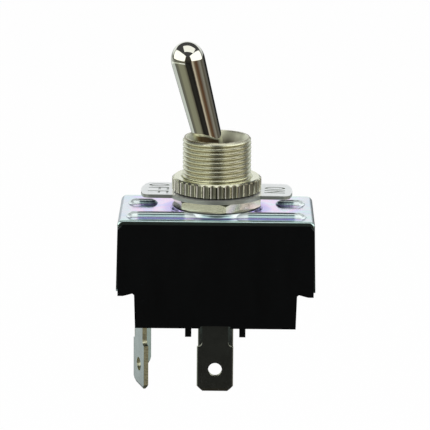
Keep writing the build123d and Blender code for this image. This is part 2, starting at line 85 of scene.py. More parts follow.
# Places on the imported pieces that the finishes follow
KNURL_CREST = 7.79 * MM
KNURL_DEPTH = 0.3 * MM
KNURL_TOP = 5.9 * MM
KNURL_RIDGES = 38
NUT_RING = 8.3 * MM
PLATE_TOP = 3.3 * MM
PLATE_FRONT = -4.1 * MM
PLATE_TURN = math.radians(1.3)
COMMON_Y = 8.2 * MM
END_X = -13.0 * MM
END_Y = 5.42 * MM
END_TURN = math.radians(18.3)

# Lamps as place, target, width and height
KEY_LAMP = ((-0.687, -0.306, 0.30), (0, 0, 0.02), 1.66, 0.62)
FILL_LAMP = ((0.697, -0.282, 0.36), (0, 0, 0.02), 1.66, 0.60)
CROWN_LAMP = ((0.17, -0.155, 0.82), (0.17, -0.154, 0.02), 1.0, 0.75)

# Floor, room and camera; a lift of wall or ceiling is the sine of the angle over the horizon
FLOOR_HALF = 2.0
FLOOR_RINGS = ((0.43, 0.465), (0.64, 0.70), (0.86, 0.96))
WALL_LIFT = (0.05, 0.13)
CEILING_LIFT = (0.38, 0.46)
CEILING = (0.06, 0.06, 0.065)
CAMERA_PLACE = (2.035 * MM, -459.054 * MM, 113.923 * MM)
CAMERA_BEARING = math.radians(0.286)
CAMERA_LIFT = math.radians(14.081)
CAMERA_ROLL = math.radians(0.483)
CAMERA_LENS = 226.36
CAMERA_SENSOR = 36


def linear(red, green, blue):
    """Linear colour from 8-bit display values."""
    def decode(value):
        share = value / 255
        return share / 12.92 if share <= 0.04045 else ((share + 0.055) / 1.055) ** 2.4
    return decode(red), decode(green), decode(blue)


def size(name, value, note):
    """Length property in metres, given in millimetres."""
    return FloatProperty(name=name, description=note, default=value * MM, unit="LENGTH", precision=5)


def power(name, value, note):
    """Lamp strength in watts."""
    return FloatProperty(name=name, description=note, default=value, unit="POWER")


def colour(name, value, note):
    """Linear colour that a user can pick."""
    return FloatVectorProperty(name=name, description=note, default=value, subtype="COLOR",
                               size=3, min=0.0, max=1.0)


# What a user would change

class ThreadSizes(bpy.types.PropertyGroup):
    crest: size("Crest radius", 5.953, "Outside radius of the 15/32 inch thread")
    pitch: size("Pitch", 0.794, "Distance between two turns, 32 to the inch")
    depth: size("Depth", 0.32, "How far the groove is cut below the crest")
    start: size("Thread start", 5.5, "Height where the thread comes out of the nuts")
    engaged: size("Engaged radius", 5.695, "Radius under the nuts, at the pitch diameter")
    rim: size("Rim radius", 5.67, "Radius where the lead-in chamfer meets the top")
    top: size("Top", 12.84, "Height of the rim above the frame")
    mouth: size("Mouth radius", 5.2, "Radius of the funnel at the rim")
    throat: size("Throat radius", 3.0, "Narrowest radius of the funnel")
    seat: size("Seat radius", 4.0, "Radius of the ball seat and its bore")
    counterbore: size("Counterbore radius", 4.3, "Radius of the wider bore at the bottom")
    counterbore_top: size("Counterbore top", 3.0, "Height where the wider bore ends")
    shoulder: size("Shoulder", 0.85, "Height of the shoulder that stands on the frame's boss")
    spigot: size("Spigot radius", 5.0, "Radius of the part that passes through the frame")
    stake: size("Staked radius", 6.0, "Radius of the edge staked over under the frame")
    sheet: size("Sheet thickness", 0.7, "Thickness of the frame's sheet metal")
    stake_height: size("Staked height", 0.55, "Thickness of the staked edge")
    columns: IntProperty(name="Columns", description="Steps round the thread", default=160, min=32)
    rows: IntProperty(name="Rows per turn", description="Steps along one pitch", default=8, min=4)


class LeverSizes(bpy.types.PropertyGroup):
    tilt: FloatProperty(name="Tilt", description="Lean of the lever at rest, towards OFF",
                        default=math.radians(14.4), subtype="ANGLE")
    pivot: size("Pivot height", 6.3, "Height of the ball's centre")
    ball: size("Ball radius", 3.92, "Radius of the pivot ball")
    neck: size("Neck radius", 1.95, "Radius of the neck under the bat")
    shoulder: size("Shoulder distance", 4.8, "Distance of the bat's lower end from the pivot")
    shoulder_radius: size("Shoulder radius", 2.43, "Radius at the bat's lower end")
    dome: size("Dome distance", 20.6, "Distance from the pivot where the dome begins")
    dome_radius: size("Dome radius", 2.95, "Radius where the dome begins")
    dome_rise: size("Dome rise", 3.29, "Height of the dome")
    tail: size("Tail radius", 1.7, "Radius of the tail inside the case")
    tail_end: size("Tail length", 14.0, "Length of the tail below the pivot")
    pin: size("Pin radius", 0.8, "Radius of the cross pin")
    reach: size("Pin reach", 4.85, "Half the length of the slots for the cross pin")
    columns: IntProperty(name="Columns", description="Steps round the lever", default=128, min=24)


class SpringSizes(bpy.types.PropertyGroup):
    radius: size("Coil radius", 1.05, "Radius of the wire's centre line")
    wire: size("Wire radius", 0.2, "Radius of the wire")
    top: size("Top distance", 10.4, "Distance of the bore's end below the pivot")
    foot: size("Foot distance", 13.6, "Distance of the plunger's upper end below the pivot")
    gap: size("End gap", 0.03, "Space left at either end")
    offset: size("Pole offset", 4.85, "Distance of each spring from the middle")
    turns: IntProperty(name="Turns", description="Turns of wire", default=5, min=2)


class SwitchColours(bpy.types.PropertyGroup):
    chrome: colour("Chrome", (0.84, 0.84, 0.73), "Polished chrome of the lever")
    nickel: colour("Nickel", (0.68, 0.685, 0.52), "Warm nickel of the bushing and nuts")
    zinc: colour("Zinc", (0.76, 0.74, 0.89), "Blue zinc of the frame")
    plate: colour("Plate", (0.94, 0.98, 0.96), "Satin plate with ON and OFF")
    case: colour("Case", (0.0009, 0.0012, 0.0014), "Black moulding of the case")
    tin: colour("Terminals", (0.50, 0.56, 0.53), "Tin plate of the terminals")
    shear: colour("Sheared edge", (0.46, 0.47, 0.33), "Yellower metal at the terminals' cut edges")
    brass: colour("Rockers", (0.60, 0.38, 0.14), "Brass of the contact rockers")
    silver: colour("Contacts", (0.82, 0.80, 0.76), "Silver of the contact buttons")
    carrier: colour("Carrier", (0.34, 0.20, 0.09), "Tan moulding of the lever's carrier and tips")
    fibre: colour("Fibre", (0.05, 0.055, 0.045), "Pressed fibre of the insulating sheet")
    steel: colour("Steel", (0.42, 0.42, 0.42), "Plain steel of pin and springs")


class StudioSettings(bpy.types.PropertyGroup):
    key: power("Key", 3.9, "Strength of the large left lamp")
    fill: power("Fill", 3.9, "Strength of the large right lamp")
    crown: power("Crown", 2.35, "Strength of the overhead lamp")
    room: FloatProperty(name="Room", description="Strength of the room's own light", default=0.6)
    floor_drop: size("Floor drop", 150.0, "Distance of the floor under the terminals")


# Shader arithmetic

class Wire:
    """A node socket that takes part in expressions; each operation adds its Math node."""

    def __init__(self, tree, socket=None):
        self.tree = tree
        self.socket = socket

    def node(self, kind, settings=(), values=(), out=0):
        """Add a node: its settings first, then the values or wires of its inputs; returns one output."""
        made = self.tree.nodes.new(kind)
        for key, value in dict(settings).items():
            if key == "stops":
                fill_ramp(made.color_ramp, value)
            else:
                setattr(made, key, value)
        for key, value in dict(values).items():
            if isinstance(value, Wire):
                self.tree.links.new(value.socket, made.inputs[key])
            else:
                made.inputs[key].default_value = value
        return Wire(self.tree, made.outputs[out] if made.outputs else None)

    def maths(self, operation, first, second=0.0):
        """Math node of one or two values or wires."""
        return self.node("ShaderNodeMath", {"operation": operation}, {0: first, 1: second})

    def __add__(self, other):
        return self.maths("ADD", self, other)

    def __radd__(self, other):
        return self.maths("ADD", other, self)

    def __sub__(self, other):
        return self.maths("SUBTRACT", self, other)

    def __rsub__(self, other):
        return self.maths("SUBTRACT", other, self)

    def __mul__(self, other):
        return self.maths("MULTIPLY", self, other)

    def __truediv__(self, other):
        return self.maths("DIVIDE", self, other)

    def __neg__(self):
        return self.maths("MULTIPLY", self, -1.0)


def fill_ramp(ramp, stops):
    """Set a colour ramp's stops from (position, colour) pairs."""
    while len(ramp.elements) < len(stops):
        ramp.elements.new(1.0)
    for element, (position, rgb) in zip(ramp.elements, stops):
        element.position = position
        element.color = (*rgb, 1.0)


def noise(graph, place, grain, detail=3.0, stretch=(1, 1, 1)):
    """Noise with a grain in metres, drawn out along an axis by stretch."""
    spot = graph.node("ShaderNodeMapping", {}, {"Vector": place, "Scale": [1 / s for s in stretch]})
    return graph.node("ShaderNodeTexNoise", {}, {"Vector": spot, "Scale": 1 / grain, "Detail": detail,
                                                 "Roughness": 0.55})


def fade(graph, value, low, high):
    """0 below low, 1 above high, smooth between."""
    return graph.node("ShaderNodeMapRange", {"interpolation_type": "SMOOTHSTEP"},
                      {"Value": value, "From Min": low, "From Max": high})


def rise(graph, value, low, high):
    """Fade between two lengths in millimetres."""
    return fade(graph, value, low * MM, high * MM)


def band(graph, value, start, end):
    """1 between two rises, which are (low, high) pairs in millimetres, and 0 outside."""
    return rise(graph, value, *start) * (1.0 - rise(graph, value, *end))


def blend(graph, amount, first, second):
    """Mix two colours by an amount."""
    def rgba(value):
        return value if isinstance(value, Wire) else (*value, 1.0)
    return graph.node("ShaderNodeMix", {"data_type": "RGBA"},
                      {"Factor": amount, 6: rgba(first), 7: rgba(second)}, out=2)


def parts_of(graph, vector):
    """The x, y and z of a vector."""
    return [graph.node("ShaderNodeSeparateXYZ", {}, {0: vector}, out=axis) for axis in range(3)]


def length_of(graph, x, y):
    """Distance from the axis."""
    return graph.maths("SQRT", x * x + y * y)


def tone(rgb, share):
    """Lighter or darker version of a colour."""
    return tuple(min(channel * share, 1.0) for channel in rgb)


def clean_graph(owner):
    """Emptied node tree of a material or world."""
    owner.use_nodes = True
    owner.node_tree.nodes.clear()
    return Wire(owner.node_tree)


def finish(name, recipe):
    """Material from a recipe that returns Principled inputs, and relief as a (height, distance) pair."""
    material = bpy.data.materials.new(name)
    graph = clean_graph(material)
    place = graph.node("ShaderNodeTexCoord", out="Object")
    inputs = recipe(graph, place)
    relief = inputs.pop("relief", None)
    if relief is not None:
        inputs["Normal"] = graph.node("ShaderNodeBump", {}, {"Height": relief[0], "Distance": relief[1],
                                                             "Strength": 1.0})
    surface = graph.node("ShaderNodeBsdfPrincipled", {}, inputs)
    graph.node("ShaderNodeOutputMaterial", {}, {"Surface": surface})
    return material


# Finishes

def chrome_finish(colours):
    """Polished chrome with a slight wave, fine rubbing along the bat and a few dull marks."""
    def recipe(graph, place):
        wave = noise(graph, place, 1.6 * MM, 2.0)
        rub = noise(graph, place, 0.25 * MM, 4.0, (1, 1, 5))
        mark = fade(graph, noise(graph, place, 0.8 * MM, 5.0), 0.62, 0.72)
        return {"Base Color": blend(graph, mark * 0.35, colours.chrome, tone(colours.chrome, 0.8)),
                "Metallic": 1.0, "Roughness": 0.02 + rub * 0.03 + mark * 0.08,
                "relief": (wave + rub * 0.06, 0.012 * MM)}
    return finish("polished chrome", recipe)


def nickel_finish(colours):
    """Warm nickel with clouds and a little dirt."""
    def recipe(graph, place):
        cloud = noise(graph, place, 1.6 * MM)
        grain = noise(graph, place, 0.12 * MM)
        dirt = fade(graph, noise(graph, place, 0.7 * MM, 5.0), 0.60, 0.74)
        base = blend(graph, cloud, tone(colours.nickel, 1.12), tone(colours.nickel, 0.88))
        return {"Base Color": blend(graph, dirt * 0.4, base, tone(colours.nickel, 0.45)),
                "Metallic": 1.0, "Roughness": 0.10 + grain * 0.12 + dirt * 0.1,
                "relief": (grain + cloud * 2.0, 0.006 * MM)}
    return finish("warm nickel", recipe)


def thread_finish(colours, sizes):
    """Cut nickel: a painted highlight on the crests, painted shade in the roots, and painted shade in the
    funnel, darker with depth and most of it at the front.
    """
    def recipe(graph, place):
        x, y, z = parts_of(graph, place)
        radius = length_of(graph, x, y)
        sunk = (sizes.crest - radius) / sizes.depth
        # Painted shade in the thread's roots, darker brown, and a painted highlight on its crests,
        # lighter
        root = fade(graph, sunk, 0.55, 1.0) * (1.0 - fade(graph, sunk, 1.3, 1.6))
        ridge = 1.0 - fade(graph, sunk, 0.0, 0.25)
        inside = rise(graph, sizes.mouth - radius, -0.02, 0.08)
        below = sizes.top - z
        # Painted shade inside the funnel: darker with depth and, at the front where the lever shades the
        # wall, from just under the rim
        deep_shade = inside * rise(graph, below, 0.2, 2.6)
        front_shade = inside * rise(graph, below, 0.12, 0.36) * rise(graph, -y, 0.5, 2.5)
        grain = noise(graph, place, 0.12 * MM)
        cloud = noise(graph, place, 1.6 * MM)
        dirt = fade(graph, noise(graph, place, 0.5 * MM, 5.0), 0.58, 0.72)
        base = blend(graph, cloud, tone(colours.nickel, 1.16), tone(colours.nickel, 0.92))
        base = blend(graph, root * 0.85, base, linear(126, 112, 72))
        base = blend(graph, ridge * 0.6, base, tone(colours.nickel, 1.35))
        base = blend(graph, deep_shade, base, linear(74, 58, 34))
        base = blend(graph, front_shade * 0.92, base, linear(82, 58, 28))
        return {"Base Color": blend(graph, dirt * 0.3, base, tone(colours.nickel, 0.5)),
                "Metallic": 0.95, "Roughness": 0.21 - ridge * 0.05 + grain * 0.14 + inside * 0.08,
                "relief": (grain + dirt + cloud * 2.0, 0.010 * MM)}
    return finish("cut nickel", recipe)


def knurl_finish(colours):
    """Nickel with flutes that are rougher and painted darker as shade, a painted highlight beside each
    ridge with painted shade next to it, and a painted shadow at the foot.
    """
    def recipe(graph, place):
        x, y, z = parts_of(graph, place)
        sunk = (KNURL_CREST - length_of(graph, x, y)) / KNURL_DEPTH
        below = KNURL_TOP - z
        outer = 1.0 - fade(graph, sunk, 1.4, 1.9)
        wall = outer * rise(graph, below, 0.30, 0.42)
        # Painted shade: the flutes are darker, as well as rougher
        flute = fade(graph, sunk, 0.12, 0.55) * wall
        turn = graph.maths("ARCTAN2", y, x) * (KNURL_RIDGES / (2 * math.pi))
        phase = graph.maths("FRACT", turn + KNURL_RIDGES + 0.5)
        # Painted highlight beside each ridge, with metallic lowered, and painted shade on the ridge's
        # other side
        ridge_glint = fade(graph, phase, 0.15, 0.20) * (1.0 - fade(graph, phase, 0.24, 0.31)) * wall
        ridge_shade = fade(graph, phase, 0.01, 0.05) * (1.0 - fade(graph, phase, 0.11, 0.15)) * wall
        # Painted shadow: a dark band round the nut's foot, where it meets the plate
        foot = rise(graph, below, 2.3, 2.5) * outer
        grain = noise(graph, place, 0.12 * MM, 3.0, (1, 1, 4))
        dirt = fade(graph, noise(graph, place, 0.5 * MM, 5.0), 0.58, 0.72)
        base = blend(graph, flute, tone(colours.nickel, 1.1), tone(colours.nickel, 0.40))
        base = blend(graph, graph.maths("MAXIMUM", ridge_shade * 0.85, foot * 0.9), base, linear(44, 38, 28))
        base = blend(graph, ridge_glint * (1.0 - foot), base, linear(240, 238, 226))
        return {"Base Color": blend(graph, dirt * 0.4, base, tone(colours.nickel, 0.4)),
                "Metallic": 1.0 - ridge_glint * 0.65, "Roughness": 0.15 + flute * 0.20 + grain * 0.10,
                "relief": (grain + dirt, 0.005 * MM)}
    return finish("knurled nickel", recipe)


def zinc_finish(colours):
    """Iridescent zinc: mint along the pressed edges, partly with a painted highlight; violet round the
    nut as painted shade and reflection of the nut, and violet before the front beads.

    A bead's colour goes by height as painted reflection: on the front flank a dark line of painted shade,
    then a pale crest of painted highlight under a dark painted cap, and a bright rear flank painted for
    the nut to mirror; its ends carry painted highlights, and the drawn part between them has ripples.
    """
    def recipe(graph, place):
        x, y, z = parts_of(graph, place)
        wide = graph.maths("ABSOLUTE", x)
        out = length_of(graph, x, y)
        cloud = noise(graph, place, 5.0 * MM, 2.0)
        film = graph.node("ShaderNodeValToRGB", {"stops": [
            (0.30, linear(206, 236, 230)), (0.42, linear(228, 224, 250)), (0.50, linear(246, 208, 240)),
            (0.58, linear(210, 200, 250)), (0.70, linear(196, 228, 236))]}, {"Fac": cloud})
        base = blend(graph, 0.25, film, colours.zinc)
        # Painted shade and reflection of the nut: violet on the frame round it
        violet = 1.0 - fade(graph, out, NUT_RING, NUT_RING + 1.8 * MM)
        base = blend(graph, violet * 0.6, base, linear(170, 142, 226))
        # Mint along the pressed edges and bends: partly the film's colour, partly a painted highlight
        rim = rise(graph, graph.maths("ABSOLUTE", y), 8.2, 8.9)
        rim = graph.maths("MAXIMUM", rim, rise(graph, -z, 0.2, 1.2))
        rim = graph.maths("MAXIMUM", rim, rise(graph, wide, 14.0, 15.6) * 0.6)
        base = blend(graph, rim * 0.85, base, linear(200, 232, 220))
        strip = band(graph, -y, (7.1, 7.5), (7.9, 8.5)) * band(graph, wide, (4.5, 6.0), (12.5, 14.0))
        base = blend(graph, strip * 0.8, base, linear(150, 145, 214))

        beads = graph.maths("MAXIMUM", rise(graph, wide, 9.3, 9.8), rise(graph, -y, 4.8, 5.8))
        raised = rise(graph, z, 0.01, 0.08) * beads
        across = parts_of(graph, graph.node("ShaderNodeTexCoord", out="Normal"))[1]
        front = fade(graph, -across, -0.1, 0.25)
        # Painted reflection on the beads by height: painted shade as a dark line and a dark cap, a
        # painted highlight as a pale crest, and a bright rear flank painted for the nut to mirror
        shade = band(graph, z, (0.40, 0.46), (0.56, 0.60))
        cap = rise(graph, z, 0.69, 0.73)
        crest = rise(graph, z, 0.57, 0.61) * (1.0 - cap) * front
        flank = blend(graph, rise(graph, z, 0.08, 0.24), linear(150, 158, 204), linear(198, 228, 226))
        flank = blend(graph, shade * 0.9, flank, linear(62, 88, 94))
        flank = blend(graph, cap, flank, linear(112, 122, 138))
        flank = blend(graph, crest, flank, linear(232, 250, 244))
        base = blend(graph, raised, base, blend(graph, front, linear(240, 228, 238), flank))
        drawn = band(graph, wide, (5.2, 5.8), (13.3, 13.8))
        # Painted highlight on the bead ends
        lit_ends = (1.0 - drawn) * rise(graph, wide, 2.0, 3.2)
        base = blend(graph, raised * lit_ends, base, linear(240, 252, 250))

        # Painted shadow on the frame's boss under the nut
        boss = rise(graph, z, 0.60, 0.80) * rise(graph, NUT_RING - out, 0.1, 0.4)
        base = blend(graph, boss * 0.9, base, linear(38, 44, 40))
        wander = noise(graph, place, 0.6 * MM) * (0.2 * MM)
        spacing = 0.27 * MM
        ripple = graph.maths("SINE", (x + wander) * (2 * math.pi / spacing))
        grain = noise(graph, place, 0.3 * MM, 4.0, (4, 1, 1))
        # Metallic lowered where the painted highlights sit: the crest and the bead ends
        pale = raised * graph.maths("MAXIMUM", crest, lit_ends * 0.5)
        return {"Base Color": base, "Metallic": 1.0 - pale * 0.6,
                "Roughness": 0.09 + grain * 0.09 + raised * (1.0 - crest) * 0.2,
                "relief": (grain + ripple * raised * drawn * 1.8, 0.007 * MM)}
    return finish("blue zinc", recipe)


def plate_finish(colours):
    """Satin plate with dark cut edges, rolled over at the front edge, and painted shade on the rolled
    edge and in the stamped letters.
    """
    def recipe(graph, place):
        x, y, z = parts_of(graph, place)
        upright = parts_of(graph, graph.node("ShaderNodeTexCoord", out="Normal"))[2]
        flat = fade(graph, graph.maths("ABSOLUTE", upright), 0.5, 0.8)
        turned = x * math.sin(PLATE_TURN) + y * math.cos(PLATE_TURN)
        # Painted shade along the rolled front edge and on the floors of the stamped letters
        roll = (1.0 - fade(graph, turned, PLATE_FRONT, PLATE_FRONT + 0.35 * MM)) * flat
        letter = rise(graph, PLATE_TOP - z, 0.03, 0.09) * flat
        grain = noise(graph, place, 0.14 * MM, 3.0, (3, 1, 1))
        cloud = noise(graph, place, 2.5 * MM)
        base = blend(graph, cloud, tone(colours.plate, 1.08), tone(colours.plate, 0.92))
        base = blend(graph, (1.0 - flat) * 0.65, base, linear(98, 112, 88))
        edge_and_letter_shade = graph.maths("MAXIMUM", roll * 0.6, letter * 0.55)
        base = blend(graph, edge_and_letter_shade, base, linear(120, 126, 120))
        return {"Base Color": base, "Metallic": 0.75, "Roughness": 0.24 + grain * 0.14,
                "relief": (grain, 0.007 * MM)}
    return finish("satin plate", recipe)


def case_finish(colours):
    """Black moulding with faint flow marks and a few pale specks."""
    def recipe(graph, place):
        grain = noise(graph, place, 0.09 * MM, 2.0)
        flow = noise(graph, place, 3.0 * MM, 3.0, (1, 1, 3))
        speck = fade(graph, noise(graph, place, 0.35 * MM, 1.0), 0.76, 0.80)
        base = blend(graph, flow, colours.case, tone(colours.case, 1.8))
        return {"Base Color": blend(graph, speck * 0.5, base, tone(colours.case, 14.0)),
                "Roughness": 0.34 + grain * 0.12 + flow * 0.06, "IOR": 1.5, "Specular IOR Level": 0.16,
                "relief": (grain + flow * 1.5, 0.010 * MM)}
    return finish("black moulding", recipe)


def terminal_finish(colours, name, broad, middle):
    """Tin plate on the rolled faces, which look along broad, and sheared metal on the cut edges.

    The blade's long edges, on either side of its middle, are rounded a little.
    """
    def along(graph, vector, way):
        return graph.node("ShaderNodeVectorMath", {"operation": "DOT_PRODUCT"}, {0: vector, 1: way},
                          out="Value")

    def recipe(graph, place):
        offset = middle[1] * broad[0] - middle[0] * broad[1]
        across = graph.maths("ABSOLUTE", along(graph, place, (-broad[1], broad[0], 0)) - offset)
        rounding = rise(graph, across, 2.99, 3.19)
        facing = along(graph, graph.node("ShaderNodeTexCoord", out="Normal"), broad)
        rolled = fade(graph, graph.maths("ABSOLUTE", facing), 0.80, 0.92)
        grain = noise(graph, place, 0.2 * MM, 4.0, (1, 1, 6))
        streak = noise(graph, place, 0.15 * MM, 3.0, (6, 6, 1))
        cloud = noise(graph, place, 2.0 * MM)
        tin = blend(graph, fade(graph, cloud, 0.35, 0.7), colours.tin, tone(colours.tin, 0.85))
        edge = blend(graph, fade(graph, streak, 0.4, 0.6), tone(colours.shear, 1.5), colours.shear)
        return {"Base Color": blend(graph, rolled, edge, tin), "Metallic": 1.0,
                "Roughness": 0.14 + grain * 0.12 + (1.0 - rolled) * 0.15,
                "relief": (grain * 0.006 + streak * (1.0 - rolled) * 0.012 - rounding * 0.10, MM)}
    return finish(name, recipe)


def plain_metal_finish(name, rgb, roughness):
    """Bare metal with faint clouds."""
    def recipe(graph, place):
        grain = noise(graph, place, 0.2 * MM)
        cloud = noise(graph, place, 1.4 * MM)
        return {"Base Color": blend(graph, cloud, rgb, tone(rgb, 0.78)), "Metallic": 1.0,
                "Roughness": roughness + grain * 0.15, "relief": (grain, 0.005 * MM)}
    return finish(name, recipe)


def plain_moulding_finish(name, rgb, roughness):
    """Moulding or fibre with faint clouds."""
    def recipe(graph, place):
        grain = noise(graph, place, 0.15 * MM)
        cloud = noise(graph, place, 2.0 * MM)
        return {"Base Color": blend(graph, cloud, rgb, tone(rgb, 0.7)),
                "Roughness": roughness + grain * 0.15, "relief": (grain, 0.010 * MM)}
    return finish(name, recipe)


def paint(names, material):
    """Give CAD nodes a material in every slot that they have."""
    for name in names:
        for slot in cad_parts[name].material_slots:
            slot.material = material


def per_pole(*names):
    """Front and rear node of each name."""
    return [name + "_" + pole for name in names for pole in POLES]


# Meshes

def placed(name, data):
    """New object with the data, linked to the scene."""
    made = bpy.data.objects.new(name, data)
    bpy.context.scene.collection.objects.link(made)
    return made


def ring_of(bm, columns, radius, height):
    """Vertices round the axis at a height."""
    return [bm.verts.new((radius * math.cos(2 * math.pi * i / columns),
                          radius * math.sin(2 * math.pi * i / columns), height))
            for i in range(columns)]


def stitch(bm, lower, upper):
    """Faces between two rings with the same number of points."""
    count = len(lower)
    for i in range(count):
        bm.faces.new((lower[i], lower[(i + 1) % count], upper[(i + 1) % count], upper[i]))


def arc(radius, centre, first, last, steps):
    """Profile points on a circle round the axis; angles in degrees from the axis' plane."""
    points = []
    for step in range(steps + 1):
        angle = math.radians(first + (last - first) * step / steps)
        points.append((radius * math.cos(angle), centre + radius * math.sin(angle)))
    return points


def settle(bm, name, material, crease=38.0):
    """Merge a mesh's doubles, turn its faces outwards, and link it as a smooth object with creases."""
    bmesh.ops.remove_doubles(bm, verts=bm.verts, dist=MERGE)
    bmesh.ops.dissolve_degenerate(bm, edges=bm.edges, dist=0.8 * MERGE)
    bmesh.ops.recalc_face_normals(bm, faces=bm.faces)
    mesh = bpy.data.meshes.new(name)
    bm.to_mesh(mesh)
    bm.free()
    mesh.shade_smooth()
    mesh.set_sharp_from_angle(angle=math.radians(crease))
    mesh.materials.append(material)
    return placed(name, mesh)


def cut(piece, tool_bm):
    """Cut a closed shape out of a piece for good."""
    bmesh.ops.recalc_face_normals(tool_bm, faces=tool_bm.faces)
    mesh = bpy.data.meshes.new("cutter")
    tool_bm.to_mesh(mesh)
    tool_bm.free()
    tool = placed("cutter", mesh)
    modifier = piece.modifiers.new("cut", "BOOLEAN")
    modifier.operation = "DIFFERENCE"
    modifier.solver = "EXACT"
    modifier.object = tool
    result = plain_copy(piece)
    piece.modifiers.remove(modifier)
    piece.data = result
    bpy.data.objects.remove(tool)


def plain_copy(piece):
    """The evaluated object as a plain mesh."""
    bpy.context.view_layer.update()
    evaluated = piece.evaluated_get(bpy.context.evaluated_depsgraph_get())
    return bpy.data.meshes.new_from_object(evaluated)


def rod(radius, half_length, columns=48):
    """Round bar along Y through the origin."""
    bm = bmesh.new()
    bmesh.ops.create_cone(bm, cap_ends=True, segments=columns, radius1=radius, radius2=radius,
                          depth=2 * half_length, matrix=Matrix.Rotation(math.pi / 2, 4, "X"))
    return bm


def lean_of(lever):
    """From the upright lever's frame, with the pivot as origin, to the lever at rest."""
    return Matrix.Translation((0, 0, lever.pivot)) @ Matrix.Rotation(-lever.tilt, 4, "Y")


def coil(sizes):
    """Closed tube wound right-handed round the axis, below the pivot."""
    bm = bmesh.new()
    columns, sides = 28, 10
    low = -sizes.foot + sizes.wire + sizes.gap
    high = -sizes.top - sizes.wire - sizes.gap
    steps = columns * sizes.turns
    rings = []
    for step in range(steps + 1):
        turn = 2 * math.pi * step / columns
        height = low + (high - low) * step / steps
        ring = []
        for radius, lift in arc(sizes.wire, 0, 0, 360 - 360 / sides, sides - 1):
            out = sizes.radius + radius
            ring.append(bm.verts.new((out * math.cos(turn), out * math.sin(turn), height + lift)))
        rings.append(ring)
    for lower, upper in zip(rings, rings[1:]):
        stitch(bm, lower, upper)
    bm.faces.new(list(reversed(rings[0])))
    bm.faces.new(rings[-1])
    return bm


def thread_tree():
    """Node group that winds a grid into a right-hand thread between two heights."""
    tree = bpy.data.node_groups.new("Cut Thread", "GeometryNodeTree")
    tree.interface.new_socket("Geometry", in_out="INPUT", socket_type="NodeSocketGeometry")
    for name in ("Crest", "Depth", "Pitch", "Bottom", "Top", "Rim", "Engaged", "Turns"):
        tree.interface.new_socket(name, in_out="INPUT", socket_type="NodeSocketFloat")
    for name in ("Columns", "Rows"):
        tree.interface.new_socket(name, in_out="INPUT", socket_type="NodeSocketInt")
    tree.interface.new_socket("Finish", in_out="INPUT", socket_type="NodeSocketMaterial")
    tree.interface.new_socket("Geometry", in_out="OUTPUT", socket_type="NodeSocketGeometry")
    graph = Wire(tree)
    given = tree.nodes.new("NodeGroupInput")
    value = {socket.name: Wire(tree, socket) for socket in given.outputs if socket.name}
    sheet = graph.node("GeometryNodeMeshGrid", {}, {"Size X": 1.0, "Size Y": 1.0,
                                                    "Vertices X": value["Columns"] + 1.0,
                                                    "Vertices Y": value["Rows"] + 1.0})
    place = graph.node("GeometryNodeInputPosition")
    across = graph.node("ShaderNodeSeparateXYZ", {}, {0: place}, out=0) + 0.5
    along = graph.node("ShaderNodeSeparateXYZ", {}, {0: place}, out=1) + 0.5
    lift = value["Bottom"] + (along * value["Turns"] - 1.0 + across) * value["Pitch"]
    height = graph.maths("MINIMUM", graph.maths("MAXIMUM", lift, value["Bottom"]), value["Top"])
    phase = graph.maths("FRACT", (height - value["Bottom"]) / value["Pitch"] - across + 1.0)
    ridge = graph.maths("ABSOLUTE", phase * 2.0 - 1.0)
    # Crest and flank as shares of half a pitch, and the lead-in's slope
    flat, flank, lead_in = 0.30, 0.60, 0.8
    groove = graph.node("ShaderNodeClamp", {}, {"Value": (1.0 - ridge - flat) / flank})
    radius = graph.maths("MINIMUM", value["Crest"] - groove * value["Depth"],
                         value["Rim"] + (value["Top"] - height) * lead_in)
    radius = graph.maths("MINIMUM", radius, value["Engaged"] + height - value["Bottom"])
    angle = across * (2 * math.pi)
    spot = graph.node("ShaderNodeCombineXYZ", {}, {"X": radius * graph.maths("COSINE", angle),
                                                   "Y": radius * graph.maths("SINE", angle), "Z": height})
    wound = graph.node("GeometryNodeSetPosition", {}, {"Geometry": sheet, "Position": spot})
    merged = graph.node("GeometryNodeMergeByDistance", {}, {"Geometry": wound, "Distance": MERGE})
    real = graph.node("GeometryNodeRealizeInstances", {}, {"Geometry": merged})
    painted = graph.node("GeometryNodeSetMaterial", {}, {"Geometry": real, "Material": value["Finish"]})
    output = tree.nodes.new("NodeGroupOutput")
    tree.links.new(painted.socket, output.inputs[0])
    return tree


def run_tree(tree, name, values):
    """Mesh that a node group makes from named input values."""
    holder = placed(name, bpy.data.meshes.new(name))
    modifier = holder.modifiers.new("build", "NODES")
    modifier.node_group = tree
    for item in tree.interface.items_tree:
        if item.in_out == "INPUT" and item.name in values:
            modifier[item.identifier] = values[item.name]
    mesh = plain_copy(holder)
    bpy.data.objects.remove(holder)
    return mesh


def open_ring(bm, height):
    """Open border of a mesh at a height, as its vertices sorted round the axis."""
    border = {v for e in bm.edges if e.is_boundary for v in e.verts
              if abs(v.co.z - height) < 4 * MERGE}
    return sorted(border, key=lambda v: math.atan2(v.co.y, v.co.x))


def follow(bm, start, profile, end):
    """Carry a ring along (radius, height) points, keeping each vertex's direction, to a last ring."""
    ring = start
    for radius, height in profile:
        upper = []
        for vertex in ring:
            direction = Vector((vertex.co.x, vertex.co.y, 0)).normalized()
            upper.append(bm.verts.new((direction.x * radius, direction.y * radius, height)))
        stitch(bm, ring, upper)
        ring = upper
    stitch(bm, ring, end)


# Operators

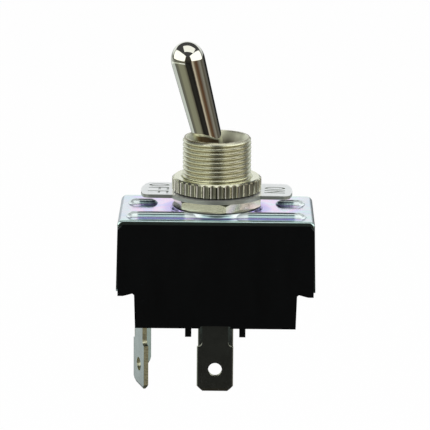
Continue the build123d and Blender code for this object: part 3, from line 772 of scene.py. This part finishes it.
class SWITCH_OT_finishes(bpy.types.Operator):
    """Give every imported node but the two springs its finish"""
    bl_idname = "switch.finishes"
    bl_label = "Finishes"

    def execute(self, context):
        colours = context.scene.switch_colours
        paint(["hex_nut"], nickel_finish(colours))
        paint(["knurled_nut"], knurl_finish(colours))
        paint(["bushing"], thread_finish(colours, context.scene.switch_thread))
        paint(["lever"], chrome_finish(colours))
        paint(["frame"], zinc_finish(colours))
        paint(["legend_plate"], plate_finish(colours))
        paint(["case"], case_finish(colours))
        for pole, side in zip(POLES, SIDES):
            broad = (-math.cos(END_TURN), side * math.sin(END_TURN), 0)
            paint(["common_terminal_" + pole],
                  terminal_finish(colours, "tin plate, middle " + pole, (0, 1, 0), (0, side * COMMON_Y)))
            paint(["end_terminal_" + pole],
                  terminal_finish(colours, "tin plate, end " + pole, broad, (END_X, side * END_Y)))
        paint(per_pole("rocker"), plain_metal_finish("brass", colours.brass, 0.25))
        paint(per_pole("moving_contact", "fixed_contact"),
              plain_metal_finish("silver", colours.silver, 0.2))
        paint(["actuator"] + per_pole("plunger"),
              plain_moulding_finish("tan moulding", colours.carrier, 0.4))
        paint(["insulator_sheet"], plain_moulding_finish("pressed fibre", colours.fibre, 0.7))
        paint(["pivot_pin"], plain_metal_finish("plain steel", colours.steel, 0.28))
        return {"FINISHED"}


class SWITCH_OT_bushing(bpy.types.Operator):
    """Build the bushing with its cut thread, funnel mouth, ball seat and staked foot"""
    bl_idname = "switch.bushing"
    bl_label = "Threaded Bushing"

    def execute(self, context):
        sizes = context.scene.switch_thread
        lever = context.scene.switch_lever
        bottom = sizes.start
        turns = math.ceil((sizes.top - bottom) / sizes.pitch) + 2
        metal = bpy.data.materials["cut nickel"]
        mesh = run_tree(thread_tree(), "thread", {
            "Crest": sizes.crest, "Depth": sizes.depth, "Pitch": sizes.pitch, "Bottom": bottom,
            "Top": sizes.top, "Rim": sizes.rim, "Engaged": sizes.engaged, "Turns": float(turns),
            "Columns": sizes.columns, "Rows": turns * sizes.rows, "Finish": metal})
        bm = bmesh.new()
        bm.from_mesh(mesh)
        bmesh.ops.remove_doubles(bm, verts=bm.verts, dist=MERGE)
        foot = sizes.shoulder - sizes.sheet
        low = foot - sizes.stake_height
        throat_rise = math.degrees(math.acos(sizes.throat / sizes.seat))
        lip = 0.12 * MM
        seat_steps = 12
        profile = [(sizes.mouth + lip, sizes.top), (sizes.mouth, sizes.top - lip)]
        profile += arc(sizes.seat, lever.pivot, throat_rise, 0, seat_steps)
        profile += [(sizes.seat, sizes.counterbore_top), (sizes.counterbore, sizes.counterbore_top),
                    (sizes.counterbore, low), (sizes.stake - lip, low), (sizes.stake, low + lip),
                    (sizes.stake, foot), (sizes.spigot, foot), (sizes.spigot, sizes.shoulder),
                    (sizes.engaged, sizes.shoulder)]
        follow(bm, open_ring(bm, sizes.top), profile, open_ring(bm, bottom))
        piece = settle(bm, "threaded_bushing", metal)
        play = 0.05 * MM
        past = 1.0 * MM
        half = lever.pin + play
        middle = Matrix.Translation((0, 0, (lever.pivot + low) / 2 - past / 2))
        sides = Matrix.Diagonal((2 * half, 2 * lever.reach, lever.pivot - low + past, 1))
        slot = bmesh.new()
        bmesh.ops.create_cube(slot, size=1.0, matrix=middle @ sides)
        cut(piece, slot)
        bore = rod(half, lever.reach)
        bmesh.ops.translate(bore, verts=bore.verts, vec=(0, 0, lever.pivot))
        cut(piece, bore)
        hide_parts("bushing")
        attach(piece, "housing")
        return {"FINISHED"}


class SWITCH_OT_lever(bpy.types.Operator):
    """Build the bat lever with its dome, taper, shoulder, ball and tail"""
    bl_idname = "switch.lever"
    bl_label = "Bat Lever"

    def execute(self, context):
        sizes = context.scene.switch_lever
        edge = 0.22 * MM
        round_steps = 28
        dome_angle = 88
        ball_top = math.degrees(math.acos(sizes.neck / sizes.ball))
        ball_low = math.degrees(math.acos(sizes.tail / sizes.ball))
        profile = [(sizes.tail - edge, -sizes.tail_end), (sizes.tail, -sizes.tail_end + edge)]
        profile += arc(sizes.ball, 0, -ball_low, ball_top, round_steps)
        profile += [(sizes.neck, sizes.shoulder)]
        for angle in (0, math.pi / 6, math.pi / 3, math.pi / 2):
            profile.append((sizes.shoulder_radius - edge * (1 - math.sin(angle)),
                            sizes.shoulder + edge * (1 - math.cos(angle))))
        flank = sizes.dome - sizes.shoulder - edge
        for share in (0.02, 0.04, 0.25, 0.5, 0.75, 0.95, 0.98):
            profile.append((sizes.shoulder_radius + (sizes.dome_radius - sizes.shoulder_radius) * share,
                            sizes.shoulder + edge + flank * share))
        stretch = sizes.dome_rise / sizes.dome_radius
        profile += [(radius, sizes.dome + height * stretch)
                    for radius, height in arc(sizes.dome_radius, 0, 0, dome_angle, round_steps)]
        bm = bmesh.new()
        ring = ring_of(bm, sizes.columns, *profile[0])
        bm.faces.new(list(reversed(ring)))
        for radius, height in profile[1:]:
            upper = ring_of(bm, sizes.columns, radius, height)
            stitch(bm, ring, upper)
            ring = upper
        pole = bm.verts.new((0, 0, sizes.dome + sizes.dome_rise))
        for i, vertex in enumerate(ring):
            bm.faces.new((vertex, ring[(i + 1) % len(ring)], pole))
        piece = settle(bm, "bat_lever", bpy.data.materials["polished chrome"])
        through = 1.2 * sizes.ball
        cut(piece, rod(sizes.pin, through))
        piece.data.transform(lean_of(sizes))
        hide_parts("lever")
        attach(piece, "lever")
        return {"FINISHED"}


class SWITCH_OT_springs(bpy.types.Operator):
    """Wind the two plunger springs as they stand with the lever at rest; the real springs shorten when a
    plunger is pressed in
    """
    bl_idname = "switch.springs"
    bl_label = "Plunger Springs"

    def execute(self, context):
        sizes = context.scene.switch_springs
        lean = lean_of(context.scene.switch_lever)
        for pole, side in zip(POLES, SIDES):
            bm = coil(sizes)
            bmesh.ops.translate(bm, verts=bm.verts, vec=(0, side * sizes.offset, 0))
            bmesh.ops.transform(bm, verts=bm.verts, matrix=lean)
            piece = settle(bm, "coil_spring_" + pole, bpy.data.materials["plain steel"])
            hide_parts("spring_" + pole)
            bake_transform(piece)
        return {"FINISHED"}


# Studio

# Light that the metal mirrors, as (bearing in degrees from the camera, colour): the floor's four
# rings from near to outer, then horizon and walls
NEAR_LEVELS = [
    (-180, (0.30, 0.32, 0.32)), (-133, (0.26, 0.28, 0.28)), (-126, (0.62, 0.66, 0.66)),
    (-107, (0.60, 0.64, 0.64)), (-101, (0.13, 0.13, 0.12)), (-80, (0.15, 0.15, 0.12)),
    (-66, (0.25, 0.25, 0.19)), (-34, (0.24, 0.24, 0.18)), (-22, (0.15, 0.14, 0.11)),
    (-14, (0.032, 0.026, 0.020)), (20, (0.032, 0.026, 0.020)), (40, (0.3, 0.27, 0.22)),
    (60, (0.10, 0.07, 0.05)), (90, (0.3, 0.26, 0.22)), (110, (0.03, 0.03, 0.03)),
    (180, (0.04, 0.04, 0.04))]
MIDDLE_LEVELS = [
    (-180, (0.07, 0.08, 0.08)), (-158, (0.10, 0.11, 0.11)), (-150, (0.56, 0.60, 0.60)),
    (-137, (0.60, 0.64, 0.64)), (-128, (0.54, 0.58, 0.58)), (-107, (0.56, 0.60, 0.60)),
    (-101, (0.13, 0.13, 0.12)), (-80, (0.15, 0.15, 0.12)), (-66, (0.25, 0.25, 0.19)),
    (-34, (0.24, 0.24, 0.18)), (-22, (0.14, 0.13, 0.10)), (-15, (0.018, 0.017, 0.015)),
    (18, (0.018, 0.017, 0.015)), (31, (0.40, 0.36, 0.30)), (41, (0.36, 0.31, 0.25)),
    (50, (0.16, 0.11, 0.07)), (64, (0.07, 0.05, 0.035)), (74, (0.30, 0.26, 0.22)),
    (94, (0.30, 0.26, 0.22)), (104, (0.12, 0.11, 0.10)), (124, (0.12, 0.11, 0.10)),
    (132, (0.50, 0.57, 0.53)), (158, (0.50, 0.57, 0.53)), (166, (0.05, 0.05, 0.05)),
    (180, (0.05, 0.05, 0.05))]
FAR_LEVELS = [
    (-180, (0.20, 0.21, 0.21)), (-156, (0.34, 0.35, 0.35)), (-149, (0.90, 0.94, 0.93)),
    (-118, (0.90, 0.94, 0.93)), (-108, (0.62, 0.65, 0.58)), (-64, (0.62, 0.65, 0.56)),
    (-57, (0.98, 1.0, 0.97)), (-25, (0.98, 1.0, 0.97)), (-18, (0.024, 0.023, 0.021)),
    (18, (0.024, 0.023, 0.021)), (31, (0.40, 0.38, 0.32)), (41, (0.36, 0.34, 0.27)),
    (50, (0.16, 0.12, 0.08)), (64, (0.07, 0.05, 0.035)), (74, (0.95, 0.90, 0.91)),
    (94, (0.95, 0.90, 0.91)), (104, (0.12, 0.11, 0.10)), (124, (0.12, 0.11, 0.10)),
    (132, (0.54, 0.60, 0.57)), (158, (0.54, 0.60, 0.57)), (166, (0.05, 0.05, 0.05)),
    (180, (0.05, 0.05, 0.05))]
OUTER_LEVELS = [
    (-180, (0.55, 0.58, 0.58)), (-140, (0.60, 0.62, 0.62)), (-100, (0.16, 0.16, 0.14)),
    (-60, (0.16, 0.16, 0.13)), (-22, (0.14, 0.13, 0.10)), (-14, (0.016, 0.015, 0.014)),
    (16, (0.016, 0.015, 0.014)), (22, (0.05, 0.04, 0.035)), (27, (0.52, 0.47, 0.39)),
    (33, (0.50, 0.44, 0.36)), (39, (0.19, 0.15, 0.11)), (50, (0.115, 0.058, 0.028)),
    (60, (0.11, 0.065, 0.04)), (70, (0.22, 0.19, 0.16)), (82, (0.28, 0.27, 0.24)),
    (97, (0.10, 0.09, 0.07)), (114, (0.17, 0.16, 0.15)), (126, (0.10, 0.10, 0.09)),
    (134, (0.012, 0.012, 0.012)), (160, (0.012, 0.012, 0.012)), (172, (0.30, 0.31, 0.31)),
    (180, (0.50, 0.52, 0.52))]
HORIZON_LEVELS = [
    (-180, (0.55, 0.58, 0.58)), (-150, (0.50, 0.52, 0.52)), (-120, (0.12, 0.12, 0.11)),
    (-22, (0.14, 0.13, 0.10)), (-14, (0.03, 0.028, 0.025)), (16, (0.03, 0.028, 0.025)),
    (22, (0.05, 0.04, 0.035)), (27, (0.50, 0.45, 0.37)), (33, (0.48, 0.42, 0.34)),
    (39, (0.19, 0.15, 0.11)), (50, (0.105, 0.053, 0.028)), (60, (0.10, 0.06, 0.04)),
    (70, (0.18, 0.16, 0.14)), (82, (0.25, 0.24, 0.22)), (97, (0.09, 0.08, 0.06)),
    (114, (0.15, 0.14, 0.13)), (128, (0.06, 0.06, 0.06)), (136, (0.012, 0.012, 0.012)),
    (158, (0.012, 0.012, 0.012)), (170, (0.40, 0.42, 0.42)), (180, (0.55, 0.58, 0.58))]
WALL_LEVELS = [
    (-180, (0.97, 0.99, 1.0)), (-140, (0.92, 0.95, 0.97)), (-120, (0.50, 0.52, 0.50)),
    (-100, (0.14, 0.14, 0.12)), (-22, (0.14, 0.13, 0.10)), (-14, (0.05, 0.045, 0.04)),
    (18, (0.05, 0.045, 0.04)), (40, (0.12, 0.10, 0.08)), (110, (0.08, 0.08, 0.08)),
    (140, (0.60, 0.62, 0.64)), (156, (0.92, 0.95, 0.97)), (180, (0.97, 0.99, 1.0))]


def room_ramp(graph, place, levels):
    """Colour by bearing round the object."""
    x, y, _ = parts_of(graph, place)
    share = graph.maths("ARCTAN2", x, -y) / (2 * math.pi) + 0.5
    stops = [((bearing + 180) / 360, rgb) for bearing, rgb in levels]
    return graph.node("ShaderNodeValToRGB", {"stops": stops}, {"Fac": share})


def build_room(settings):
    """World: white to the camera, dark and light walls to metal, and an even light to the rest."""
    world = bpy.data.worlds.new("studio room")
    bpy.context.scene.world = world
    graph = clean_graph(world)
    way = graph.node("ShaderNodeTexCoord", out="Generated")
    height = parts_of(graph, way)[2]
    horizon = room_ramp(graph, way, HORIZON_LEVELS)
    walls = room_ramp(graph, way, WALL_LEVELS)
    walls = blend(graph, fade(graph, height, *WALL_LIFT), horizon, walls)
    shell = blend(graph, fade(graph, height, *CEILING_LIFT), walls, CEILING)
    seen = graph.node("ShaderNodeLightPath", out="Is Camera Ray")
    glossy = graph.node("ShaderNodeLightPath", out="Is Glossy Ray")
    soft = graph.node("ShaderNodeBackground", {}, {"Color": (1, 1, 1, 1), "Strength": settings.room})
    lit = graph.node("ShaderNodeBackground", {}, {"Color": shell, "Strength": 1.0})
    white = graph.node("ShaderNodeBackground", {}, {"Color": (1, 1, 1, 1), "Strength": 1.0})
    mixed = graph.node("ShaderNodeMixShader", {}, {0: glossy, 1: soft, 2: lit})
    mixed = graph.node("ShaderNodeMixShader", {}, {0: seen, 1: mixed, 2: white})
    graph.node("ShaderNodeOutputWorld", {}, {"Surface": mixed})


def build_floor(settings):
    """Pale floor: white to the camera but for the shadow, rings of light and dark to the metal."""
    height = CAD_BOX[0][2] - settings.floor_drop
    corners = [(-1, -1), (1, -1), (1, 1), (-1, 1)]
    mesh = bpy.data.meshes.new("floor")
    mesh.from_pydata([(FLOOR_HALF * x, FLOOR_HALF * y, height) for x, y in corners], [], [(0, 1, 2, 3)])
    material = bpy.data.materials.new("pale floor")
    graph = clean_graph(material)
    place = graph.node("ShaderNodeTexCoord", out="Object")
    x, y, _ = parts_of(graph, place)
    away = length_of(graph, x, y)
    walls = room_ramp(graph, place, NEAR_LEVELS)
    for levels, (first, last) in zip((MIDDLE_LEVELS, FAR_LEVELS, OUTER_LEVELS), FLOOR_RINGS):
        walls = blend(graph, fade(graph, away, first, last), walls, room_ramp(graph, place, levels))
    pale = graph.node("ShaderNodeBsdfDiffuse", {}, {"Color": (0.8, 0.8, 0.8, 1)})
    white = graph.node("ShaderNodeEmission", {}, {"Color": (1, 1, 1, 1), "Strength": 1.0})
    mirrored = graph.node("ShaderNodeEmission", {}, {"Color": walls, "Strength": 1.0})
    seen = graph.node("ShaderNodeLightPath", out="Is Camera Ray")
    glossy = graph.node("ShaderNodeLightPath", out="Is Glossy Ray")
    look = graph.node("ShaderNodeMixShader", {}, {0: glossy, 1: pale, 2: mirrored})
    look = graph.node("ShaderNodeMixShader", {}, {0: seen * 0.98, 1: look, 2: white})
    graph.node("ShaderNodeOutputMaterial", {}, {"Surface": look})
    mesh.materials.append(material)
    floor = placed("floor", mesh)


def add_lamp(name, place, target, width, height, watts):
    """Rectangular lamp that faces a target."""
    data = bpy.data.lights.new(name, "AREA")
    data.shape = "RECTANGLE"
    data.size = width
    data.size_y = height
    data.energy = watts
    lamp = placed(name, data)
    lamp.location = place
    lamp.rotation_euler = (Vector(target) - Vector(place)).to_track_quat("-Z", "Y").to_euler()


def add_camera():
    """Camera at the photograph's viewpoint, turned by its bearing, down by its lift, and rolled."""
    level = math.cos(CAMERA_LIFT)
    forward = Vector((-math.sin(CAMERA_BEARING) * level, math.cos(CAMERA_BEARING) * level,
                      -math.sin(CAMERA_LIFT)))
    right = Vector((math.cos(CAMERA_BEARING), math.sin(CAMERA_BEARING), 0))
    up = right.cross(forward)
    across = right * math.cos(CAMERA_ROLL) + up * math.sin(CAMERA_ROLL)
    upright = up * math.cos(CAMERA_ROLL) - right * math.sin(CAMERA_ROLL)
    data = bpy.data.cameras.new("camera")
    data.sensor_width = CAMERA_SENSOR
    data.lens = CAMERA_LENS
    data.clip_start = 0.01
    camera = placed("camera", data)
    turn = Matrix((across, upright, -forward)).transposed().to_4x4()
    camera.matrix_world = Matrix.Translation(CAMERA_PLACE) @ turn
    bpy.context.scene.camera = camera


class SWITCH_OT_studio(bpy.types.Operator):
    """Set the floor, room, lamps and camera"""
    bl_idname = "switch.studio"
    bl_label = "Studio"

    def execute(self, context):
        settings = context.scene.switch_studio
        context.scene.view_settings.view_transform = "Standard"
        build_room(settings)
        build_floor(settings)
        add_lamp("key lamp", *KEY_LAMP, settings.key)
        add_lamp("fill lamp", *FILL_LAMP, settings.fill)
        add_lamp("crown lamp", *CROWN_LAMP, settings.crown)
        add_camera()
        return {"FINISHED"}


class SWITCH_PT_panel(bpy.types.Panel):
    """Sizes, colours and build steps of the toggle switch"""
    bl_idname = "SWITCH_PT_panel"
    bl_label = "Toggle Switch"
    bl_space_type = "VIEW_3D"
    bl_region_type = "UI"
    bl_category = "Toggle Switch"

    def draw(self, context):
        for step in STEPS:
            self.layout.operator(step.bl_idname)
        for group in GROUPS:
            box = self.layout.box()
            owner = getattr(context.scene, group)
            for name in owner.bl_rna.properties.keys():
                if name not in ("rna_type", "name"):
                    box.prop(owner, name)


STEPS = (SWITCH_OT_finishes, SWITCH_OT_bushing, SWITCH_OT_lever, SWITCH_OT_springs,
         SWITCH_OT_studio)
GROUPS = {"switch_thread": ThreadSizes, "switch_lever": LeverSizes, "switch_springs": SpringSizes,
          "switch_colours": SwitchColours, "switch_studio": StudioSettings}


def register():
    for group in GROUPS.values():
        bpy.utils.register_class(group)
    for name, group in GROUPS.items():
        setattr(bpy.types.Scene, name, PointerProperty(type=group))
    for step in STEPS + (SWITCH_PT_panel,):
        bpy.utils.register_class(step)


def unregister():
    for step in reversed(STEPS + (SWITCH_PT_panel,)):
        bpy.utils.unregister_class(step)
    for name, group in GROUPS.items():
        delattr(bpy.types.Scene, name)
        bpy.utils.unregister_class(group)


def main():
    register()
    bpy.ops.switch.finishes()
    bpy.ops.switch.bushing()
    bpy.ops.switch.lever()
    bpy.ops.switch.springs()
    bpy.ops.switch.studio()


if __name__ == "__main__":
    main()
